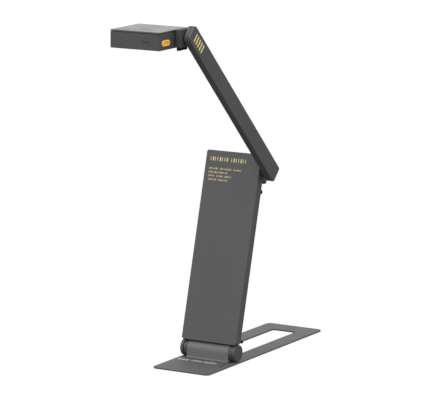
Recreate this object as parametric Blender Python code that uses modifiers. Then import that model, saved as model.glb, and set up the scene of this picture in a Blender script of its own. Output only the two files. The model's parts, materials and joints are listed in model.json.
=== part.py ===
"""Folding document camera: a slotted base plate, a flat stand, a straight arm and a flat camera head.

The frame has +Z up, the rear along +Y and the hinge axes along X. The origin is on the table, under the
middle of the base hinge. Lengths below are in millimetres, and each object's mesh is made in metres.
"""

import math

import bmesh
import bpy
from mathutils import Matrix, Vector

MM = 0.001
GAP = 0.3  # between neighbouring pieces

# Base plate
PLATE_WIDTH = 65.4
PLATE_FRONT = -60.8
PLATE_REAR = 171.9
PLATE_BOTTOM = 0.3
PLATE_TOP = 2.0
PLATE_CORNER = 5.0
SLOT_WIDTH = 27.7
SLOT_FRONT = 16.0
SLOT_REAR = 149.3
SLOT_CORNER = 3.0
PAD_HEIGHT = 0.6
PAD_CORNER = 3.0

# Base hinge
HINGE_HEIGHT = 10.8
BARREL_RADIUS = 8.1
BRACKET_WIDTH = 48.4
BRACKET_FLARE = 1.5
BASE_PIN_RADIUS = 3.0
BASE_PIN_LENGTH = 60.0
RING_WIDTH = 3.5
KNUCKLE_RADIUS = 8.5
KNUCKLE_WIDTH = 3.45
STAND_LEAN = 15.26  # degrees back from upright

# Stand, along its own height from the hinge axis
STAND_WIDTH = 63.5
STAND_FRONT = -8.1
STAND_BACK = 1.32
STAND_BOTTOM = 7.44
STAND_TOP = 200.5
STAND_CORNER = 2.6
STAND_WALL = 1.5
STAND_FLOOR = 2.0
STAND_SEAM = -0.2
HOUSING_BOTTOM = 172.4
HOUSING_BACK = 9.9

UPPER_STOP_RADIUS = 2.4
UPPER_STOP_X = 27.6
UPPER_STOP_HEIGHT = 163.8
GROMMET_AT = (0.0, 26.0)
GROMMET_BORE = 1.8
ELBOW_HEIGHT = 186.7
ELBOW_DEPTH = 0.9
ELBOW_AT = (ELBOW_DEPTH, ELBOW_HEIGHT)

# Arm, along itself from the elbow axis to the wrist axis
ARM_FROM_VERTICAL = 45.0  # degrees forward
ARM_REACH = 212.0
ARM_WIDTH = 17.3
ARM_INNER = 35.7
ARM_OUTER = 43.0
ARM_WALL = 1.3
ARM_END = 8.8  # beyond each of the arm's two axes
ARM_NOSE_RADIUS = 6.5
ARM_CORNER = 2.4
ELBOW_PIN_RADIUS = 2.5
ELBOW_BOSS_RADIUS = 7.5
ARM_SCREW_HEIGHTS = (22.0, 78.0, 134.0, 190.0)

# Wrist and head, from the wrist axis
HEAD_WIDTH = 55.2
HEAD_FRONT = -41.0
HEAD_REAR = 9.5
HEAD_BOTTOM = -9.1
HEAD_TOP = 8.6
HEAD_SEAM = 6.6
HEAD_SEAM_GAP = 0.5
HEAD_CORNER = 0.6
HEAD_WALL = 1.5
HEAD_SCREW_TIP = -1.0
WRIST_RIGHT = 34.4
WRIST_FRONT = -13.9
WRIST_PIN_RADIUS = 2.2
WRIST_WASHER_RADIUS = 6.5
LENS_Y = -17.0
LENS_RADIUS = 6.0
BEZEL_RADIUS = 9.0
LAMP_Y = -34.0
LAMP_LENGTH = 12.0
LAMP_WIDTH = 3.0
BUTTON_Y = -29.8
BUTTON_Z = -2.45
BUTTON_LENGTH = 13.6
BUTTON_HEIGHT = 5.7
BUTTON_PROUD = 0.9
MIC_X = 12.7
MIC_Z = -1.2
MIC_LENGTH = 8.4
MIC_HEIGHT = 1.8

SCREW_HEAD_RADIUS = 2.0
SCREW_SHANK_RADIUS = 0.9

COLOURS = {  # base colour, roughness, metallic
    "graphite": ((0.115, 0.115, 0.12), 0.55, 0.0),
    "graphite_dark": ((0.085, 0.085, 0.09), 0.5, 0.0),
    "painted_steel": ((0.2, 0.2, 0.205), 0.5, 0.3),
    "steel": ((0.55, 0.55, 0.56), 0.35, 1.0),
    "zinc_screw": ((0.3, 0.3, 0.31), 0.4, 1.0),
    "rubber": ((0.02, 0.02, 0.02), 0.85, 0.0),
    "black_plastic": ((0.012, 0.012, 0.013), 0.45, 0.0),
    "board_green": ((0.02, 0.12, 0.05), 0.6, 0.0),
    "sensor": ((0.03, 0.03, 0.05), 0.2, 0.0),
    "lens_glass": ((0.1, 0.12, 0.2), 0.05, 0.0),
    "amber": ((0.9, 0.36, 0.01), 0.4, 0.0),
    "diffuser": ((0.8, 0.8, 0.78), 0.5, 0.0),
}


def clear_scene():
    for thing in list(bpy.data.objects):
        bpy.data.objects.remove(thing, do_unlink=True)


def new_collection(name):
    collection = bpy.data.collections.new(name)
    bpy.context.scene.collection.children.link(collection)
    return collection


def make_materials():
    made = {}
    for name, (colour, roughness, metallic) in COLOURS.items():
        material = bpy.data.materials.new(name)
        material.use_nodes = True
        shader = material.node_tree.nodes["Principled BSDF"]
        shader.inputs["Base Color"].default_value = (*colour, 1.0)
        shader.inputs["Roughness"].default_value = roughness
        shader.inputs["Metallic"].default_value = metallic
        material.diffuse_color = (*colour, 1.0)
        made[name] = material
    return made


clear_scene()
PARTS = new_collection("document_camera")
CUTTERS = new_collection("cutters")
CUTTERS.hide_render = True
MATERIALS = make_materials()


def axis_empty(name, location, tilt=0.0, parent=None):
    """An empty on a joint's axis, whose X is the axis. The tilt in degrees leans its Z forward."""
    empty = bpy.data.objects.new(name, None)
    PARTS.objects.link(empty)
    empty.parent = parent
    empty.location = Vector(location) * MM
    empty.rotation_euler = (math.radians(tilt), 0.0, 0.0)
    return empty


def add_object(name, bm, frame, material):
    """Makes an object of the bmesh. Without a material it is a cutter."""
    bmesh.ops.scale(bm, vec=(MM, MM, MM), verts=bm.verts)
    bmesh.ops.recalc_face_normals(bm, faces=bm.faces)
    mesh = bpy.data.meshes.new(name)
    bm.to_mesh(mesh)
    bm.free()
    mesh.shade_smooth()
    mesh.set_sharp_from_angle(angle=math.radians(35))
    thing = bpy.data.objects.new(name, mesh)
    thing.parent = frame
    if material is None:
        CUTTERS.objects.link(thing)
        thing.hide_render = True
        thing.display_type = "WIRE"
    else:
        PARTS.objects.link(thing)
        mesh.materials.append(MATERIALS[material])
    return thing


def along(edge, axis):
    direction = (edge.verts[1].co - edge.verts[0].co).normalized()
    return abs(direction["XYZ".index(axis)]) > 0.99


def box_bmesh(low, high, axis="Z", radius=0.0, steps=5):
    """A box whose four edges along the axis are rounded."""
    low, high = Vector(low), Vector(high)
    bm = bmesh.new()
    bmesh.ops.create_cube(bm, size=1.0)
    bmesh.ops.scale(bm, vec=high - low, verts=bm.verts)
    bmesh.ops.translate(bm, vec=(low + high) / 2, verts=bm.verts)
    if radius:
        edges = [edge for edge in bm.edges if along(edge, axis)]
        bmesh.ops.bevel(bm, geom=edges, offset=radius, segments=steps, profile=0.5, affect="EDGES")
    return bm


def box(name, low, high, frame, material=None, axis="Z", radius=0.0, steps=5, edge=0.0):
    """A box with rounded edges along one axis, and a small bevel on the rest if edge is given."""
    thing = add_object(name, box_bmesh(low, high, axis, radius, steps), frame, material)
    if edge:
        soften(thing, edge)
    return thing


def soften(thing, width, segments=2):
    bevel = thing.modifiers.new("soft_edges", "BEVEL")
    bevel.width = width * MM
    bevel.segments = segments
    bevel.limit_method = "ANGLE"
    bevel.angle_limit = math.radians(50)
    bevel.harden_normals = False


def rod_bmesh(radius, start, end, axis="X", at=(0.0, 0.0), sides=32, end_radius=None):
    """A cylinder or cone along an axis. The other two coordinates of its middle are given by at."""
    bm = bmesh.new()
    last = radius if end_radius is None else end_radius
    bmesh.ops.create_cone(
        bm, cap_ends=True, segments=sides, radius1=radius, radius2=last, depth=end - start
    )
    middle = (start + end) / 2
    if axis == "X":
        bmesh.ops.rotate(bm, cent=(0, 0, 0), matrix=Matrix.Rotation(math.pi / 2, 3, "Y"), verts=bm.verts)
        place = (middle, at[0], at[1])
    elif axis == "Y":
        bmesh.ops.rotate(bm, cent=(0, 0, 0), matrix=Matrix.Rotation(-math.pi / 2, 3, "X"), verts=bm.verts)
        place = (at[0], middle, at[1])
    else:
        place = (at[0], at[1], middle)
    bmesh.ops.translate(bm, vec=place, verts=bm.verts)
    return bm


def rod(name, radius, start, end, frame, material=None, axis="X", at=(0.0, 0.0), sides=32, edge=0.0,
        end_radius=None):
    bm = rod_bmesh(radius, start, end, axis, at, sides, end_radius)
    thing = add_object(name, bm, frame, material)
    if edge:
        soften(thing, edge)
    return thing


def cut(thing, *cutters):
    for cutter in cutters:
        boolean = thing.modifiers.new(cutter.name, "BOOLEAN")
        boolean.operation = "DIFFERENCE"
        boolean.object = cutter
    return thing


def join(thing, *others):
    """Unions helper shapes, which aren't parts themselves, into a part."""
    for other in others:
        boolean = thing.modifiers.new(other.name, "BOOLEAN")
        boolean.operation = "UNION"
        boolean.object = other
    return thing


def sides():
    return (("left", -1), ("right", 1))


def span(side, near, far):
    """The low and high ends of a stretch from near to far on one side of the middle plane."""
    return tuple(sorted((side * near, side * far)))


def screw(name, x, y, head, tip, frame, axis="Z", head_depth=1.0):
    """A countersunk screw. Its head's flat is at head, and it runs along the axis to its tip."""
    inward = 1 if tip > head else -1
    shoulder = head + inward * head_depth
    low, high = sorted((head, shoulder))
    wide_first = head < shoulder
    body = rod(
        name,
        SCREW_HEAD_RADIUS if wide_first else SCREW_SHANK_RADIUS,
        low,
        high,
        frame,
        "zinc_screw",
        axis,
        (x, y),
        20,
        end_radius=SCREW_SHANK_RADIUS if wide_first else SCREW_HEAD_RADIUS,
    )
    shank = rod(
        name + "_shank",
        SCREW_SHANK_RADIUS * 0.98,
        min(shoulder - inward * 0.4, tip),
        max(shoulder - inward * 0.4, tip),
        frame,
        None,
        axis,
        (x, y),
        20,
    )
    socket = rod(name + "_socket", 0.75, head - 0.5, head + 0.5, frame, None, axis, (x, y), 6)
    return cut(join(body, shank), socket)


def screw_hole(name, x, y, head, tip, frame, axis="Z", head_depth=1.0):
    """The countersunk hole for such a screw, open past its head."""
    inward = 1 if tip > head else -1
    shoulder = head + inward * head_depth
    mouth = head - inward * 0.6
    radii = (SCREW_HEAD_RADIUS + GAP + 0.6, SCREW_SHANK_RADIUS + GAP)
    low, high = sorted((mouth, shoulder + inward * 0.3))
    wide_first = mouth < shoulder
    seat = rod(
        name + "_seat",
        radii[0] if wide_first else radii[1],
        low,
        high,
        frame,
        None,
        axis,
        (x, y),
        20,
        end_radius=radii[1] if wide_first else radii[0],
    )
    bore = rod(
        name + "_bore",
        radii[1] * 0.98,
        min(mouth, tip + inward * GAP),
        max(mouth, tip + inward * GAP),
        frame,
        None,
        axis,
        (x, y),
        20,
    )
    return seat, bore


def outline_bar(name, points, low, high, frame, material=None, edge=0.0):
    """A bar along X whose section is a closed outline of (y, z) points."""
    curve = bpy.data.curves.new(name + "_outline", "CURVE")
    curve.dimensions = "2D"
    curve.fill_mode = "BOTH"
    curve.extrude = (high - low) / 2
    spline = curve.splines.new("POLY")
    spline.points.add(len(points) - 1)
    for point, (y, z) in zip(spline.points, points):
        point.co = (y, z, 0.0, 1.0)
    spline.use_cyclic_u = True
    drawn = bpy.data.objects.new(name + "_outline", curve)
    bpy.context.scene.collection.objects.link(drawn)
    bpy.context.view_layer.update()
    mesh = bpy.data.meshes.new_from_object(drawn.evaluated_get(bpy.context.evaluated_depsgraph_get()))
    bpy.data.objects.remove(drawn)
    bm = bmesh.new()
    bm.from_mesh(mesh)
    bpy.data.meshes.remove(mesh)
    bmesh.ops.remove_doubles(bm, verts=bm.verts, dist=1e-4)
    # The outline's own axes become Y and Z, and its extrusion becomes X.
    turn = Matrix(((0, 0, 1), (1, 0, 0), (0, 1, 0)))
    bmesh.ops.rotate(bm, cent=(0, 0, 0), matrix=turn, verts=bm.verts)
    bmesh.ops.translate(bm, vec=((low + high) / 2, 0, 0), verts=bm.verts)
    thing = add_object(name, bm, frame, material)
    if edge:
        soften(thing, edge)
    return thing


def arc(centre, radius, start, end, steps):
    """Points (y, z) on an arc, from one angle to another in degrees."""
    angles = (math.radians(start + (end - start) * i / steps) for i in range(steps + 1))
    return [(centre[0] + radius * math.cos(a), centre[1] + radius * math.sin(a)) for a in angles]


def make_base_plate(base):
    half = PLATE_WIDTH / 2
    plate = box(
        "base_plate",
        (-half, PLATE_FRONT, PLATE_BOTTOM),
        (half, PLATE_REAR, PLATE_TOP),
        base,
        "painted_steel",
        radius=PLATE_CORNER,
        steps=8,
        edge=0.25,
    )
    slot = box(
        "plate_slot",
        (-SLOT_WIDTH / 2, SLOT_FRONT, PLATE_BOTTOM - 1),
        (SLOT_WIDTH / 2, SLOT_REAR, PLATE_TOP + 1),
        base,
        radius=SLOT_CORNER,
    )
    cut(plate, slot)
    pads = {
        "front_pad": ((-27.0, -54.0), (27.0, 11.0)),
        "left_pad": ((-30.0, 20.0), (-17.5, 145.0)),
        "right_pad": ((17.5, 20.0), (30.0, 145.0)),
        "rear_pad": ((-27.0, 153.5), (27.0, 167.5)),
    }
    for name, (low, high) in pads.items():
        box(name, (*low, 0.0), (*high, PAD_HEIGHT), base, "rubber", radius=PAD_CORNER, steps=4)
        pocket = box(
            name + "_pocket",
            (low[0] - GAP, low[1] - GAP, PLATE_BOTTOM - 1),
            (high[0] + GAP, high[1] + GAP, PAD_HEIGHT + GAP),
            base,
            radius=PAD_CORNER + GAP,
            steps=4,
        )
        cut(plate, pocket)
    return plate


def make_hinge_bracket(base, plate):
    """A D-shaped barrel that flares into the plate, held by four screws from under it."""
    floor = PLATE_TOP + GAP
    flare_at = -BARREL_RADIUS - BRACKET_FLARE
    outline = [(flare_at, floor)]
    outline += arc((flare_at, floor + 0.3 + BRACKET_FLARE), BRACKET_FLARE, 270, 360, 5)
    outline += arc((0, HINGE_HEIGHT), BARREL_RADIUS, 180, 0, 20)
    outline += [(BARREL_RADIUS, floor)]
    half = BRACKET_WIDTH / 2
    bracket = outline_bar("hinge_bracket", outline, -half, half, base, "painted_steel", 0.4)
    bore = rod(
        "bracket_bore",
        BASE_PIN_RADIUS + GAP,
        -half - 1,
        half + 1,
        base,
        at=(0, HINGE_HEIGHT),
    )
    cut(bracket, bore)
    number = 0
    for x in (-16.0, 16.0):
        for y in (-4.2, 4.2):
            number += 1
            head, tip = PAD_HEIGHT + GAP + 0.05, 6.6
            screw(f"bracket_screw_{number}", x, y, head, tip, base)
            holes = screw_hole(f"bracket_screw_{number}", x, y, head, tip, base)
            cut(plate, *holes)
            cut(bracket, holes[1])


def make_base_hinge(base, stand):
    half = BASE_PIN_LENGTH / 2
    axis_at = (0, HINGE_HEIGHT)
    rod("base_hinge_pin", BASE_PIN_RADIUS, -half, half, base, "steel", at=axis_at, edge=0.3)
    for name, side in sides():
        near = BRACKET_WIDTH / 2 + GAP
        low, high = span(side, near, near + RING_WIDTH)
        ring = rod(
            f"friction_ring_{name}", BARREL_RADIUS - 0.1, low, high, base, "graphite_dark", at=axis_at,
            sides=40, edge=0.35,
        )
        bore = rod(
            f"ring_bore_{name}", BASE_PIN_RADIUS + GAP, low - 1, high + 1, base, at=axis_at
        )
        cut(ring, bore)
        make_knuckle(name, side, stand)


def make_knuckle(name, side, stand):
    """The stand's end of the hinge: a round cap over the pin's end, with a tab up into the stand."""
    outer = STAND_WIDTH / 2
    inner = outer - KNUCKLE_WIDTH
    low, high = span(side, inner, outer)
    knuckle = rod(
        f"knuckle_{name}", KNUCKLE_RADIUS, low, high, stand, "graphite_dark", sides=40, edge=0.35
    )
    tab_low, tab_high = span(side, inner + GAP, inner + 1.6)
    tab = box(f"knuckle_tab_{name}", (tab_low, -5.6, 2.0), (tab_high, -4.1, 36.0), stand)
    join(knuckle, tab)
    bore_low, bore_high = span(side, inner - 1, BASE_PIN_LENGTH / 2 + GAP)
    cut(knuckle, rod(f"knuckle_bore_{name}", BASE_PIN_RADIUS + GAP, bore_low, bore_high, stand))


def stand_screws():
    return [(x, z) for x in (-22.0, 22.0) for z in (30.0, 150.0)]


def make_stand_covers(stand):
    half = STAND_WIDTH / 2
    wall = STAND_WALL
    front = box(
        "stand_front_cover",
        (-half, STAND_FRONT, STAND_BOTTOM),
        (half, STAND_SEAM, STAND_TOP),
        stand,
        "graphite",
        axis="Y",
        radius=STAND_CORNER,
        steps=4,
        edge=0.35,
    )
    hollow = box(
        "stand_front_hollow",
        (-half + wall, STAND_FRONT + wall, STAND_BOTTOM + STAND_FLOOR),
        (half - wall, STAND_SEAM + 1, STAND_TOP - wall),
        stand,
        axis="Y",
        radius=STAND_CORNER - 1.2,
        steps=2,
    )
    back = box(
        "stand_back_cover",
        (-half, STAND_SEAM + GAP, STAND_BOTTOM),
        (half, STAND_BACK, STAND_TOP),
        stand,
        "graphite",
        axis="Y",
        radius=STAND_CORNER,
        steps=4,
    )
    housing = box(
        "elbow_housing",
        (-half, STAND_SEAM + GAP, HOUSING_BOTTOM),
        (half, HOUSING_BACK, STAND_TOP),
        stand,
        axis="Y",
        radius=STAND_CORNER,
        steps=4,
        edge=0.6,
    )
    housing_hollow = box(
        "elbow_housing_hollow",
        (-half + wall, STAND_SEAM - 1, HOUSING_BOTTOM + wall),
        (half - wall, HOUSING_BACK - wall, STAND_TOP - wall),
        stand,
        axis="Y",
        radius=STAND_CORNER - 1.2,
        steps=2,
    )
    join(back, housing)
    cut(back, housing_hollow)
    hinge_clearance = rod("stand_hinge_clearance", KNUCKLE_RADIUS + 0.4, -half - 1, half + 1, stand, sides=48)
    cut(front, hollow)
    cut(front, hinge_clearance)
    cut(back, hinge_clearance)
    for name, side in sides():
        low, high = span(side, half - KNUCKLE_WIDTH, half - KNUCKLE_WIDTH + 1.9)
        slit = box(f"knuckle_slit_{name}", (low, -6.0, 6.0), (high, -3.7, 12.0), stand)
        cut(front, slit)
    pin_hole = rod(
        "elbow_pin_hole",
        ELBOW_PIN_RADIUS + GAP,
        half - wall - 1,
        half + 1,
        stand,
        at=ELBOW_AT,
    )
    cut(front, pin_hole)
    cut(back, pin_hole)
    return back


def make_stand_inside(stand, back):
    frame = box("stand_frame", (-28.0, -3.4, 14.0), (28.0, -1.8, 168.0), stand, "steel", axis="Y", radius=2.0)
    for number, (x, z) in enumerate(stand_screws(), 1):
        head, tip = STAND_BACK - 0.1, -3.0
        name = f"back_screw_{number}"
        screw(name, x, z, head, tip, stand, axis="Y", head_depth=0.8)
        seat, bore = screw_hole(name, x, z, head, tip, stand, axis="Y", head_depth=0.8)
        cut(back, seat, bore)
        hole = rod(
            f"frame_hole_{number}", SCREW_SHANK_RADIUS + GAP, -4.4, -0.8, stand, axis="Y", at=(x, z), sides=20
        )
        cut(frame, hole)
    block = box(
        "elbow_hinge_block",
        (27.4, -5.8, 177.0),
        (29.9, 7.6, 196.4),
        stand,
        "steel",
        axis="X",
        radius=2.0,
        steps=3,
    )
    cut(block, rod("hinge_block_bore", ELBOW_PIN_RADIUS + GAP, 26.0, 31.0, stand, at=ELBOW_AT))
    for name, (start, end, radius, count) in {
        "elbow_spring_washer": (25.6, 27.0, 5.5, 32),
        "elbow_nut": (21.6, 25.2, 5.0, 6),
    }.items():
        ring = rod(name, radius, start, end, stand, "zinc_screw", at=ELBOW_AT, sides=count)
        bore = rod(name + "_bore", ELBOW_PIN_RADIUS + GAP, start - 1, end + 1, stand, at=ELBOW_AT)
        cut(ring, bore)


def make_stand_rear_details(stand, back):
    """Rubber stops that meet the plate when the stand folds back, and the lead's grommet."""
    behind = STAND_BACK + GAP
    for name, side in sides():
        low, high = span(side, 25.6, 31.4)
        box(
            f"lower_stop_{name}", (low, behind, 10.4), (high, 7.6, 13.6), stand, "rubber", radius=0.8, steps=2
        )
        rod(
            f"upper_stop_{name}",
            UPPER_STOP_RADIUS,
            behind,
            7.9,
            stand,
            "rubber",
            axis="Y",
            at=(side * UPPER_STOP_X, UPPER_STOP_HEIGHT),
            sides=24,
            edge=0.5,
        )
    grommet = rod(
        "lead_grommet", 4.2, behind, 4.6, stand, "rubber", axis="Y", at=GROMMET_AT, end_radius=3.2
    )
    hole = rod("grommet_hole", GROMMET_BORE, STAND_SEAM - 2, 6.0, stand, axis="Y", at=GROMMET_AT, sides=24)
    cut(grommet, hole)
    cut(back, hole)


def arm_outline(inset=0.0):
    """The arm's outline: small corners at its foot and rear edge, and a large one at its nose."""
    half = ARM_WIDTH / 2 - inset
    foot = -ARM_END + inset
    top = ARM_REACH + ARM_END - inset
    corner = ARM_CORNER - inset / 2
    nose = ARM_NOSE_RADIUS - inset
    points = arc((-half + corner, foot + corner), corner, 180, 270, 4)
    points += arc((half - corner, foot + corner), corner, 270, 360, 4)
    points += arc((half - corner, top - corner), corner, 0, 90, 4)
    points += arc((-half + nose, top - nose), nose, 90, 180, 10)
    return points


def make_arm(arm):
    middle = (ARM_INNER + ARM_OUTER) / 2
    outer = outline_bar(
        "arm_outer_cover", arm_outline(), middle + GAP / 2, ARM_OUTER, arm, "graphite", 0.35
    )
    inner = outline_bar(
        "arm_inner_cover", arm_outline(), ARM_INNER, middle - GAP / 2, arm, "graphite", 0.35
    )
    hollow = outline_bar(
        "arm_hollow", arm_outline(ARM_WALL), ARM_INNER + ARM_WALL, ARM_OUTER - ARM_WALL, arm
    )
    cut(outer, hollow)
    cut(inner, hollow)
    core = box(
        "arm_core",
        (38.0, -4.5, -6.0),
        (40.4, 4.5, ARM_REACH + 5.0),
        arm,
        "steel",
        axis="X",
        radius=3.0,
        steps=3,
    )
    elbow_hole = rod("arm_elbow_hole", ELBOW_PIN_RADIUS + GAP, 35.0, 42.0 - ARM_WALL + 0.6, arm)
    wrist_hole = rod("arm_wrist_hole", WRIST_PIN_RADIUS + GAP, 35.0, 41.3, arm, at=(0, ARM_REACH))
    for piece in (inner, core):
        cut(piece, elbow_hole, wrist_hole)
    rod("elbow_pin", ELBOW_PIN_RADIUS, 20.0, 40.9, arm, "steel", edge=0.3)
    boss_low, boss_high = STAND_WIDTH / 2 + GAP, ARM_INNER - GAP
    boss = rod(
        "elbow_boss", ELBOW_BOSS_RADIUS, boss_low, boss_high, arm, "graphite_dark", sides=40, edge=0.4
    )
    cut(boss, rod("elbow_boss_bore", ELBOW_PIN_RADIUS + GAP, 31.0, 36.5, arm))
    box("arm_flex_lead", (41.0, -2.5, 8.0), (41.3, 2.5, ARM_REACH - 8.0), arm, "amber")
    for number, z in enumerate(ARM_SCREW_HEIGHTS, 1):
        name = f"arm_screw_{number}"
        head, tip = ARM_INNER + 0.15, 40.0
        screw(name, 0.0, z, head, tip, arm, axis="X")
        seat, bore = screw_hole(name, 0.0, z, head, tip, arm, axis="X")
        cut(inner, seat, bore)
        cut(core, bore)


def make_wrist(head):
    left = HEAD_WIDTH / 2 + GAP
    block = box(
        "wrist_block",
        (left, WRIST_FRONT, -8.7),
        (WRIST_RIGHT, HEAD_REAR, 8.8),
        head,
        "graphite_dark",
        radius=1.3,
        steps=3,
        edge=0.4,
    )
    cut(block, rod("wrist_block_bore", WRIST_PIN_RADIUS + GAP, 26.0, 36.0, head))
    plug_low, plug_high = (29.2, -13.2, -11.7), (32.0, 3.0, -6.6)
    box("wrist_plug", plug_low, plug_high, head, "black_plastic", radius=0.9, steps=2, edge=0.4)
    pocket = box(
        "wrist_plug_pocket",
        (plug_low[0] - GAP, plug_low[1] - GAP, -10.0),
        (plug_high[0] + GAP, plug_high[1] + GAP, plug_high[2] + GAP),
        head,
    )
    cut(block, pocket)
    rod("wrist_pin", WRIST_PIN_RADIUS, 22.0, 41.0, head, "steel", edge=0.3)
    washer = rod(
        "wrist_washer", WRIST_WASHER_RADIUS, WRIST_RIGHT + GAP, ARM_INNER - GAP, head, "steel", edge=0.15
    )
    cut(washer, rod("wrist_washer_bore", WRIST_PIN_RADIUS + GAP, 33.0, 37.0, head))


def pill(name, length, height, middle, depth, frame, material=None, along_axis="Y", edge=0.0):
    """A bar with round ends, long along Y or X, whose depth runs along the other of the two."""
    x, y, z = middle
    if along_axis == "Y":
        low, high = (x, y - length / 2, z - height / 2), (x + depth, y + length / 2, z + height / 2)
        round_axis = "X"
    else:
        low, high = (x - length / 2, y, z - height / 2), (x + length / 2, y + depth, z + height / 2)
        round_axis = "Y"
    radius = height / 2 - 0.02
    return box(name, low, high, frame, material, axis=round_axis, radius=radius, steps=8, edge=edge)


def head_screws():
    return [(x, y) for x in (-20.5, 20.5) for y in (-37.0, 5.4)]


def make_head_shells(head):
    half = HEAD_WIDTH / 2
    shell = box(
        "head_shell",
        (-half, HEAD_FRONT, HEAD_BOTTOM),
        (half, HEAD_REAR, HEAD_SEAM),
        head,
        "graphite",
        radius=HEAD_CORNER,
        steps=4,
        edge=0.45,
    )
    hollow = box(
        "head_hollow",
        (-half + HEAD_WALL, HEAD_FRONT + HEAD_WALL, HEAD_BOTTOM + HEAD_WALL),
        (half - HEAD_WALL, HEAD_REAR - HEAD_WALL, HEAD_TOP),
        head,
        radius=HEAD_CORNER,
        steps=2,
    )
    lens_hole = rod("lens_hole", BEZEL_RADIUS + GAP, HEAD_BOTTOM - 1, HEAD_BOTTOM + 2, head, axis="Z",
                    at=(0, LENS_Y), sides=40)
    button_at = (half - 3, BUTTON_Y, BUTTON_Z)
    button_hole = pill("button_hole", BUTTON_LENGTH + 2 * GAP, BUTTON_HEIGHT + 2 * GAP, button_at, 5, head)
    mic_hole = pill(
        "mic_hole", MIC_LENGTH + 2 * GAP, MIC_HEIGHT + 2 * GAP, (MIC_X, HEAD_FRONT - 1, MIC_Z), 4, head,
        along_axis="X",
    )
    lamp_hole = slot_box("lamp_hole", LAMP_LENGTH + 2 * GAP, LAMP_WIDTH + 2 * GAP, HEAD_BOTTOM - 1, 3, head)
    pin_hole = rod("head_pin_hole", WRIST_PIN_RADIUS + GAP, half - 4, half + 1, head)
    cut(shell, hollow, lens_hole, button_hole, mic_hole, lamp_hole, pin_hole)
    cover = box(
        "head_top_cover",
        (-half, HEAD_FRONT, HEAD_SEAM + HEAD_SEAM_GAP),
        (half, HEAD_REAR, HEAD_TOP),
        head,
        "graphite",
        radius=HEAD_CORNER,
        steps=4,
        edge=0.45,
    )
    inset = HEAD_WALL + GAP
    lip = box(
        "head_lip",
        (-half + inset, HEAD_FRONT + inset, HEAD_SEAM - 1.2),
        (half - inset, HEAD_REAR - inset, HEAD_TOP - 0.6),
        head,
        radius=HEAD_CORNER,
        steps=2,
    )
    lip_hollow = box(
        "head_lip_hollow",
        (-half + inset + 1.2, HEAD_FRONT + inset + 1.2, HEAD_SEAM - 3),
        (half - inset - 1.2, HEAD_REAR - inset - 1.2, HEAD_TOP - 1.2),
        head,
    )
    cut(join(cover, lip), lip_hollow)
    bottom = HEAD_BOTTOM + HEAD_WALL + GAP
    for number, (x, y) in enumerate(head_screws(), 1):
        boss = rod(f"cover_boss_{number}", 2.2, bottom, HEAD_TOP - 0.6, head, axis="Z", at=(x, y), sides=20)
        hole = rod(
            f"boss_bore_{number}", SCREW_SHANK_RADIUS + GAP, bottom - 1, HEAD_SCREW_TIP + GAP, head, axis="Z",
            at=(x, y), sides=20,
        )
        join(cover, boss)
        cut(cover, hole)
    return shell


def make_head_inside(head, shell):
    bezel = rod("lens_bezel", BEZEL_RADIUS, HEAD_BOTTOM, HEAD_BOTTOM + 1.2, head, "black_plastic", axis="Z",
                at=(0, LENS_Y), sides=40, edge=0.25)
    cut(bezel, rod("bezel_bore", LENS_RADIUS + GAP, HEAD_BOTTOM - 1, HEAD_BOTTOM + 3, head, axis="Z",
                   at=(0, LENS_Y), sides=40))
    barrel = rod("lens_barrel", LENS_RADIUS, HEAD_BOTTOM + 0.9, 0.2, head, "black_plastic", axis="Z",
                 at=(0, LENS_Y), sides=40, edge=0.25)
    cut(barrel, rod("barrel_bore", LENS_RADIUS - 1.4, HEAD_BOTTOM, -2.0, head, axis="Z", at=(0, LENS_Y)))
    rod("lens_glass", LENS_RADIUS - 1.7, HEAD_BOTTOM + 1.8, HEAD_BOTTOM + 3.2, head, "lens_glass", axis="Z",
        at=(0, LENS_Y), sides=40, edge=0.3)
    box("image_sensor", (-4.5, LENS_Y - 4.5, 0.5), (4.5, LENS_Y + 4.5, 1.7), head, "sensor")
    box("circuit_board", (-24.0, -34.3, 2.0), (19.5, 2.7, 3.2), head, "board_green", radius=1.0, steps=2)
    box("focus_switch", (21.0, BUTTON_Y - 3.0, BUTTON_Z - 2.6), (24.8, BUTTON_Y + 3.0, BUTTON_Z + 2.6), head,
        "black_plastic")
    mic_at = (MIC_X, HEAD_FRONT + 0.1, MIC_Z)
    pill("microphone_cover", MIC_LENGTH, MIC_HEIGHT, mic_at, 1.3, head, "black_plastic", "X")
    for number, (x, y) in enumerate(head_screws(), 1):
        name = f"head_screw_{number}"
        head_at = HEAD_BOTTOM + 0.1
        screw(name, x, y, head_at, HEAD_SCREW_TIP, head)
        cut(shell, *screw_hole(name, x, y, head_at, HEAD_SCREW_TIP, head))


def slot_box(name, length, width, bottom, depth, frame, material=None):
    """A flat bar with round ends in front of the lens, long along X."""
    low = (-length / 2, LAMP_Y - width / 2, bottom)
    high = (length / 2, LAMP_Y + width / 2, bottom + depth)
    return box(name, low, high, frame, material, radius=width / 2 - 0.02, steps=8)


def make_light_window(head):
    """The frosted window of the fill light, held from inside by its flange."""
    window = slot_box("light_window", LAMP_LENGTH, LAMP_WIDTH, HEAD_BOTTOM + 0.1, 2.2, head, "diffuser")
    flange_at = HEAD_BOTTOM + HEAD_WALL + GAP
    flange = slot_box("light_window_flange", LAMP_LENGTH + 3, LAMP_WIDTH + 3, flange_at, 0.9, head)
    join(window, flange)


def make_focus_button(button):
    """The amber focus button, whose empty is at its middle on the head's right side."""
    face = BUTTON_PROUD
    pill("focus_button", BUTTON_LENGTH, BUTTON_HEIGHT, (face - 2.6, 0, 0), 2.6, button, "amber", edge=0.5)


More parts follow.
